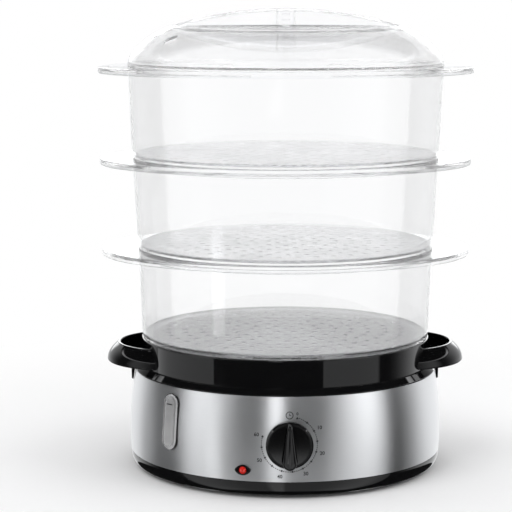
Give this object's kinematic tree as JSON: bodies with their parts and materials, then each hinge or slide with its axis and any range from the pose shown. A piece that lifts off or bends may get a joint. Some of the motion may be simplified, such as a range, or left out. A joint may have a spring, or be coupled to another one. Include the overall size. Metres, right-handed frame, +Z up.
{
  "type": "electric food steamer",
  "caption": "Round steel and black base with timer knob, lamp and water gauge, clear stacked steaming bowls with oval ears, and a clear lid with a grip ridge.",
  "frame": {"origin": "on the table, under the middle of the base", "axes": "+Z up, the control knob faces -Y, +X to the right seen from the front"},
  "size_m": [0.308, 0.2876, 0.3784],
  "materials": {
    "black_plastic": "glossy black moulded plastic",
    "rubber_black": "matt black rubber",
    "silicone_red": "red silicone",
    "band_steel": "stainless steel, brushed round the band",
    "stainless": "plain stainless sheet",
    "element_metal": "dull heater tube",
    "screw_steel": "zinc plated steel",
    "ceramic_white": "unglazed white ceramic",
    "timer_plastic": "off-white moulded plastic",
    "contact_brass": "stamped brass",
    "lamp_red": "clear red moulding",
    "neon_glass": "clear glass",
    "gauge_clear": "clear plastic",
    "lead_brown": "brown insulation",
    "lead_blue": "blue insulation",
    "lead_green": "green insulation",
    "tray_clear": "slightly frosted plastic",
    "bowl_clear": "clear plastic",
    "floor_clear": "clear plastic, lightly frosted",
    "lid_clear": "clear plastic"
  },
  "bodies": {
    "base": {"base_pan": "black_plastic", "base_ring": "black_plastic", "rubber_feet": "rubber_black", "steel_band": "band_steel", "upper_housing": "black_plastic", "left_handle": "black_plastic", "right_handle": "black_plastic", "base_screws": "screw_steel", "heater_cup": "stainless", "heater_element": "element_metal", "heater_seal": "silicone_red", "heater_clamp_ring": "stainless", "heater_screws": "screw_steel", "dry_boil_thermostat": "ceramic_white", "thermal_fuse": "ceramic_white", "timer_case": "timer_plastic", "timer_cover": "stainless", "timer_bell": "stainless", "timer_contacts": "contact_brass", "timer_screws": "screw_steel", "lamp_bezel": "black_plastic", "lamp_lens": "lamp_red", "neon_lamp": "neon_glass", "gauge_window": "gauge_clear", "gauge_seal": "rubber_black", "terminal_block": "timer_plastic", "cord_gland": "black_plastic", "lead_live": "lead_brown", "lead_switched": "lead_brown", "lead_neutral": "lead_blue", "lead_earth": "lead_green"},
    "knob_and_shaft": {"knob": "black_plastic", "knob_clip": "stainless", "timer_shaft": "screw_steel", "timer_cam": "timer_plastic"},
    "steam_ring": {"steam_ring": "tray_clear"},
    "drip_tray": {"drip_tray": "tray_clear"},
    "lower_bowl": {"bowl_1_shell": "bowl_clear", "bowl_1_floor": "floor_clear"},
    "middle_bowl": {"bowl_2_shell": "bowl_clear", "bowl_2_floor": "floor_clear"},
    "upper_bowl": {"bowl_3_shell": "bowl_clear", "bowl_3_floor": "floor_clear"},
    "lid": {"lid": "lid_clear"}
  },
  "joints": [
    {"name": "knob_turn", "type": "hinge", "parent": "base", "child": "knob_and_shaft", "pos_m": [0, -0.13, 0.044], "axis": [0, 1, 0], "range_deg": [0, 286]},
    {"name": "steam_ring_lift", "type": "slide", "parent": "base", "child": "steam_ring", "axis": [0, 0, 1], "range_m": [0, 0.09]},
    {"name": "drip_tray_lift", "type": "slide", "parent": "steam_ring", "child": "drip_tray", "axis": [0, 0, 1], "range_m": [0, 0.06]},
    {"name": "lower_bowl_lift", "type": "slide", "parent": "drip_tray", "child": "lower_bowl", "axis": [0, 0, 1], "range_m": [0, 0.07]},
    {"name": "middle_bowl_lift", "type": "slide", "parent": "lower_bowl", "child": "middle_bowl", "axis": [0, 0, 1], "range_m": [0, 0.09]},
    {"name": "upper_bowl_lift", "type": "slide", "parent": "middle_bowl", "child": "upper_bowl", "axis": [0, 0, 1], "range_m": [0, 0.09]},
    {"name": "lid_lift", "type": "slide", "parent": "upper_bowl", "child": "lid", "axis": [0, 0, 1], "range_m": [0, 0.1]}
  ]
}
